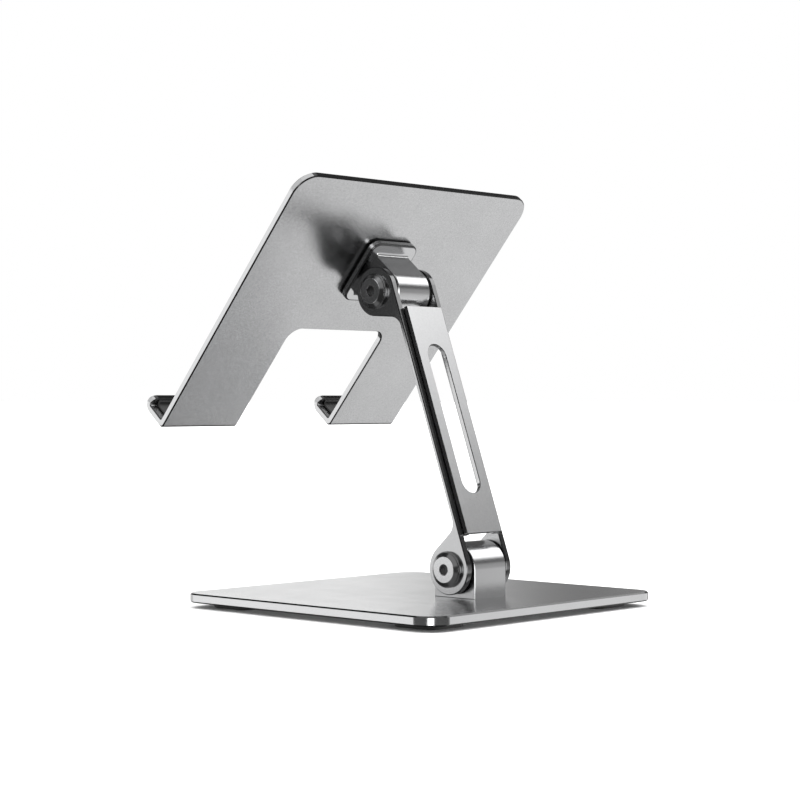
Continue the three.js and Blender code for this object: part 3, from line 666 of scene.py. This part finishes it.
def cheek(side, sign):
    bores = [circle(BORE, 64), circle(BORE, 64, 0, ARM_LENGTH)]
    half = CHEEK_THICKNESS / 2
    solid = Solid().prism(cheek_outline(), half, CHEEK_CHAMFER, bores, hole_rim=CHEEK_BORE_RIM)
    solid.move(ALONG_X)
    solid.move(Matrix.Translation((sign * (CHEEK_INNER + CHEEK_THICKNESS / 2), 0, 0)))
    # the rim walls and chamfers take darkened copies of the aluminium: painted shade
    made = solid.object(f"{side}_cheek_milled", [SATIN, PAINTED_SHADE_CHEEK_RIM, PAINTED_SHADE_EDGE])
    inner, root = CHEEK_INNER - LEDGE_WIDTH, CHEEK_INNER + CHEEK_THICKNESS / 2
    ends = sorted((sign * inner, sign * root))
    low = (ends[0], BAR_FRONT, WEB_MIDDLE - WEB_HALF)
    high = (ends[1], EAR_RADIUS, WEB_MIDDLE + WEB_HALF)
    boolean(made, [box_solid("ledge", low, high, SATIN)], "UNION")
    boolean(made, web_screw_cutters([sign]), "DIFFERENCE")
    finish_piece(made, ARM, "arm", f"{side}_cheek", 20)


def web():
    outline = rounded_rectangle(2 * CHEEK_INNER, 2 * WEB_HALF, WEB_CORNER, 4)
    slot = rounded_rectangle(SLOT_WIDTH, SLOT_LENGTH, SLOT_WIDTH / 2 - 0.001, 28)
    solid = Solid().prism(outline, WEB_THICKNESS / 2, WEB_RIM, [slot], hole_rim=SLOT_RIM)
    solid.move(ALONG_Y)
    solid.move(Matrix.Translation((0, EAR_RADIUS + SEAT_GAP + WEB_THICKNESS / 2, WEB_MIDDLE)))
    # the chamfers take the painted-shade edge material, darkened to near black
    made = solid.object("arm_web_blasted", [BLASTED_WEB, SIDE, PAINTED_SHADE_EDGE])
    boolean(made, web_screw_cutters((-1, 1)), "DIFFERENCE")
    finish_piece(made, ARM, "arm", "arm_web")


# ------------------------------------------------------------------ head


def bracket_screw_cutters():
    return [screw_cutter(BRACKET_SCREW_CUTTER, x, PLATE_FRONT, z, 48) for x, z in BRACKET_SCREWS]


def bracket():
    """The flange, with a rounded rim, and the knuckle that grows out of it with a root fillet."""
    outline = rounded_rectangle(FLANGE_WIDTH, FLANGE_LENGTH, FLANGE_CORNER, 14)
    half = (FLANGE_REAR - FLANGE_FRONT) / 2
    solid = Solid().prism(outline, half, FLANGE_RIM, steps=4, wall=3)
    solid.move(ALONG_Y)
    solid.move(Matrix.Translation((0, FLANGE_FRONT + half, FLANGE_RISE)))
    # the flange's rounded rim takes the painted-shade edge material, darkened to near black
    materials = [SATIN, TURNED, PAINTED_SHADE_EDGE, FLANGE_SIDE]
    made = solid.object("head_bracket_milled", materials)
    reach = -FLANGE_REAR
    outline = knuckle_outline(UPPER_RADIUS, reach, ROOT_FILLET)
    toe = next(i for i, (_, z) in enumerate(outline) if abs(z + reach) < MERGE)
    y, z = outline[toe][0], -reach - ROOT_DEPTH
    outline[toe + 1:toe + 1] = [(y, z), (-y, z)]
    bores = [circle(BORE)]
    half = KNUCKLE_WIDTH / 2
    knuckle = Solid().prism(outline, half, CHEEK_CHAMFER, bores, hole_rim=BORE_RIM, edge=1)
    knuckle.move(ALONG_X)
    knuckle.move(Matrix.Rotation(math.radians(-90), 4, "X"))
    boolean(made, [knuckle.object("knuckle", materials)], "UNION")
    boolean(made, bracket_screw_cutters(), "DIFFERENCE")
    finish_piece(made, HEAD, "head", "head_bracket", 22)


def bend_table():
    """Stations down the sheet: (distance from the top, outer point, inner point), in (y, z). The
    outer face is the rear of the slope, the underside of the shelf and the front of the lip."""
    b, f, i = BOTTOM_BEND, LIP_BEND, INNER_BEND
    shelf_top = PLATE_BOTTOM + SHEET
    lip_rear = LIP_FRONT + SHEET
    stations = [((PLATE_REAR, PLATE_TOP), (PLATE_FRONT, PLATE_TOP))]
    level = shelf_top + i
    stations.append(((PLATE_REAR, level), (PLATE_FRONT, level)))
    outer = arc(PLATE_REAR - b, PLATE_BOTTOM + b, b, 0, -90, 12)
    inner = arc(PLATE_FRONT - i, shelf_top + i, i, 0, -90, 12)
    stations += list(zip(outer, inner))
    outer = arc(LIP_FRONT + f, PLATE_BOTTOM + f, f, -90, -180, 14)
    inner = arc(lip_rear + i, shelf_top + i, i, -90, -180, 14)
    stations += list(zip(outer, inner))
    stations.append(((LIP_FRONT, LIP_TOP), (lip_rear, LIP_TOP)))
    table, distance, before = [], 0.0, None
    for outer, inner in stations:
        middle = (Vector(outer) + Vector(inner)) / 2
        if before is not None:
            step = (middle - before).length
            if step < MERGE:
                continue
            distance += step
        before = middle
        table.append((distance, Vector(outer), Vector(inner)))
    return table


def on_sheet(table, distance, depth):
    """The point at that distance down the sheet, where depth runs from 0 on the outer face to 1 on
    the inner."""
    for (d0, o0, i0), (d1, o1, i1) in zip(table, table[1:]):
        if distance <= d1 + 1e-9 or d1 == table[-1][0]:
            t = (distance - d0) / (d1 - d0)
            outer, inner = o0.lerp(o1, t), i0.lerp(i1, t)
            return outer + (inner - outer) * depth


def tablet_plate():
    table = bend_table()
    length = table[-1][0]
    x, cut = PLATE_WIDTH / 2, CUTOUT_WIDTH / 2
    r, c, e = PLATE_CORNER, CUTOUT_CORNER, LIP_CORNER
    cut_top, lip = CUTOUT_TOP - PLATE_TOP - c, e - length
    # the flat sheet, anticlockwise, in (x, minus the distance from the top)
    outline = arc(x - r, -r, r, 0, 90, 24) + arc(-x + r, -r, r, 90, 180, 24)
    outline += arc(-x + e, lip, e, 180, 270, 10) + arc(-cut - e, lip, e, 270, 360, 10)
    outline += arc(-cut + c, cut_top, c, 180, 90, 16) + arc(cut - c, cut_top, c, 90, 0, 16)
    outline += arc(cut + e, lip, e, 180, 270, 10) + arc(x - e, lip, e, 270, 360, 10)
    solid = Solid().prism(outline, SHEET / 2, SHEET_RIM)
    bm = solid.bm
    for face in bm.faces:
        v = face.calc_center_median().y
        if face.material_index == 1 and (v > -SHEET_RIM or v < SHEET_RIM - length):
            face.material_index = 2  # painted shade: the top edges of the plate and of the lips take the near-black edge material
    for distance, _, _ in table[1:-1]:
        geometry = bm.verts[:] + bm.edges[:] + bm.faces[:]
        place = (0, -distance, 0)
        bmesh.ops.bisect_plane(bm, geom=geometry, dist=1e-6, plane_co=place, plane_no=(0, 1, 0))
    for vert in bm.verts:
        px, v, z = vert.co
        place = on_sheet(table, -v, z / SHEET + 0.5)
        vert.co = (px, place.x, place.y)
    # the chamfers and the top edges take the painted-shade edge material, darkened to near black
    made = solid.object("tablet_plate_bent", [BLASTED, SIDE, PAINTED_SHADE_EDGE])
    boolean(made, bracket_screw_cutters(), "DIFFERENCE")
    finish_piece(made, HEAD, "head", "tablet_plate", 30)


def liner(side, sign):
    """A strip of silicone with soft edges, along the shelf and up the inside of the lip."""
    shelf = PLATE_BOTTOM + SHEET + SEAT_GAP
    lip = LIP_FRONT + SHEET + SEAT_GAP
    back = PLATE_FRONT - SEAT_GAP
    top = LIP_TOP - LINER_TOP_GAP
    leg = (PLATE_WIDTH - CUTOUT_WIDTH) / 2
    pad, bend = PAD_THICKNESS, LINER_INNER_BEND
    outline = [(back, shelf), (back, shelf + pad - 0.2), (back - 0.2, shelf + pad)]
    outline += arc(lip + pad + bend, shelf + pad + bend, bend, 270, 180, 6)
    outline += [(lip + pad, top - 0.3), (lip + pad - 0.3, top), (lip + 0.1, top), (lip, top - 0.1)]
    outline += [(lip, shelf + INNER_BEND), (lip + INNER_BEND, shelf)]
    solid = Solid().prism(outline, leg / 2 - LIP_CORNER, LINER_RIM, wall=0, edge=0)
    solid.move(ALONG_X)
    solid.move(Matrix.Translation((sign * (CUTOUT_WIDTH + leg) / 2, 0, 0)))
    made = solid.object(f"hook_liner_{side}_moulding", [SILICONE])
    finish_piece(made, HEAD, "head", f"hook_liner_{side}", 40)


def rest_pad():
    outline = rounded_rectangle(PAD_WIDTH, PAD_HEIGHT, PAD_CORNER, 16)
    solid = Solid().prism(outline, PAD_THICKNESS / 2, PAD_RIM, steps=4, wall=0, edge=0)
    solid.move(ALONG_Y)
    y = PLATE_FRONT - SEAT_GAP - PAD_THICKNESS / 2
    solid.move(Matrix.Translation((0, y, PLATE_TOP - PAD_TOP_MARGIN - PAD_HEIGHT / 2)))
    made = solid.object("rest_pad_moulding", [SILICONE])
    finish_piece(made, HEAD, "head", "rest_pad", 40)


# ------------------------------------------------------------------ the stand

base_skin()
for end, y in (("front", -FOOT_PLACE), ("rear", FOOT_PLACE)):
    for side, x in (("left", -FOOT_PLACE), ("right", FOOT_PLACE)):
        foot(end, side, x, y)
pivot_block()
for side, sign in (("left", -1), ("right", 1)):
    cheek(side, sign)
    liner(side, sign)
web()
hinge("lower", ARM)
hinge("upper", ARM @ Matrix.Translation((0, 0, ARM_LENGTH)))
bracket()
tablet_plate()
rest_pad()

for name, node in frame["nodes"].items():  # the screws keep their CAD shape
    if "screw" in name:
        node.data.materials.clear()
        node.data.materials.append(BLACK)

# ------------------------------------------------------------------ floor and light


FLOOR_SIZE = 40  # from its middle to its edge, in metres


def ground():
    bm = bmesh.new()
    bmesh.ops.create_grid(bm, x_segments=2, y_segments=2, size=FLOOR_SIZE)
    mesh = bpy.data.meshes.new("floor")
    bm.to_mesh(mesh)
    bm.free()
    floor = bpy.data.objects.new("floor", mesh)
    bpy.context.scene.collection.objects.link(floor)
    n = Nodes("pale_floor")
    n.colour(n.noise(3, 2), grey(0.90), grey(0.92))
    n.shader.inputs["Roughness"].default_value = 0.9
    n.shader.inputs["Specular IOR Level"].default_value = 0.0
    mesh.materials.append(n.material)
    floor.visible_glossy = False


ground()

SKY_STRENGTH, SKY_ANGLE = 3.9, math.radians(120)
sky_data = bpy.data.lights.new("soft_top_light", "SUN")
sky_data.energy = SKY_STRENGTH
sky_data.angle = SKY_ANGLE
sky = bpy.data.objects.new("soft_top_light", sky_data)
sky.visible_glossy = False
bpy.context.scene.collection.objects.link(sky)

RIGHT = Vector((math.cos(CAMERA_AZIMUTH), math.sin(CAMERA_AZIMUTH), 0))
FORWARD = Vector((-math.sin(CAMERA_AZIMUTH), math.cos(CAMERA_AZIMUTH), 0))
UP = Vector((0, 0, 1))

world = bpy.data.worlds.new("studio")
bpy.context.scene.world = world
world.use_nodes = True
tree = world.node_tree
tree.nodes.clear()


def value_node(operation, a, b=None):
    """A Math node. Its inputs are numbers or the outputs of other nodes."""
    node = tree.nodes.new("ShaderNodeMath")
    node.operation = operation
    for i, v in enumerate((a, b)):
        if v is None:
            continue
        if isinstance(v, (int, float)):
            node.inputs[i].default_value = v
        else:
            tree.links.new(v, node.inputs[i])
    return node.outputs[0]


def dot(a, vector):
    node = tree.nodes.new("ShaderNodeVectorMath")
    node.operation = "DOT_PRODUCT"
    tree.links.new(a, node.inputs[0])
    node.inputs[1].default_value = vector
    return node.outputs["Value"]


def smooth(value, start, end, low=0.0, high=1.0):
    """A soft step from low to high while the value goes from start to end."""
    node = tree.nodes.new("ShaderNodeMapRange")
    node.interpolation_type = "SMOOTHSTEP"
    set_range(node, start, end, low, high)
    tree.links.new(value, node.inputs["Value"])
    return node.outputs["Result"]


direction = tree.nodes.new("ShaderNodeTexCoord").outputs["Generated"]
along_right, along_forward, height = (dot(direction, v) for v in (RIGHT, FORWARD, UP))
bearing = value_node("ARCTAN2", along_right, along_forward)  # 0 ahead of the camera, + to its right
elevation = value_node("ARCSINE", height)


def band(value, ends, edge):
    """1 between the two ends and 0 outside them, with soft edges. Angles are in degrees."""
    start, end, edge = (math.radians(v) for v in (*ends, edge))
    rise = smooth(value, start - edge, start + edge)
    fall = smooth(value, end - edge, end + edge, 1.0, 0.0)
    return value_node("MULTIPLY", rise, fall)


def card(bearings, elevations, strength, side_edge, level_edge):
    """A soft-edged panel of light."""
    shape = value_node(
        "MULTIPLY", band(bearing, bearings, side_edge), band(elevation, elevations, level_edge)
    )
    return value_node("MULTIPLY", shape, strength)


DOME = (math.radians(50), math.radians(62), 0.12, 1.05)  # it brightens overhead
PANELS = (  # bearings, elevations, strength, width of the side edges, and of the other two
    ((41, 104), (26, 48), 2.45, 2, 4),  # big box on the right
    ((7, 89), (-3, 12), 0.5, 5, 3),  # its fill, lower down
    ((37, 89), (-48.5, -3), 1.04, 5, 3.5),  # pale table on the right
    ((-99, -62), (-20, 31), 1.25, 2, 5),  # wall and table on the left
    ((-62, 2), (-6, 14), 1.32, 4, 5),  # low light ahead
    ((104, 165), (12, 55), 0.8, 6, 4),  # fill behind, right
    ((-165, -99), (12, 55), 0.8, 6, 4),  # fill behind, left
    ((-132, -99), (-60, -14), 0.5, 5, 6),  # table behind, left
    ((94, 150), (-60, -14), 0.6, 5, 6),  # table behind, right
    ((168, 180), (-20, 10), 4.5, 6, 6),  # strip behind the camera
    ((-180, -168), (-20, 10), 4.5, 6, 6),
)
light = smooth(elevation, *DOME)
for panel in PANELS:
    light = value_node("ADD", light, card(*panel))

path = tree.nodes.new("ShaderNodeLightPath")
seen = tree.nodes.new("ShaderNodeBackground")
seen.inputs["Color"].default_value = (1, 1, 1, 1)
seen.inputs["Strength"].default_value = 1.0
lit = tree.nodes.new("ShaderNodeBackground")
lit.inputs["Color"].default_value = (1, 1, 1, 1)
tree.links.new(light, lit.inputs["Strength"])
mix = tree.nodes.new("ShaderNodeMixShader")
tree.links.new(path.outputs["Is Camera Ray"], mix.inputs[0])
tree.links.new(lit.outputs[0], mix.inputs[1])
tree.links.new(seen.outputs[0], mix.inputs[2])
output = tree.nodes.new("ShaderNodeOutputWorld")
tree.links.new(mix.outputs[0], output.inputs["Surface"])

bpy.context.scene.view_settings.view_transform = "Standard"
bpy.context.scene.view_settings.look = "None"
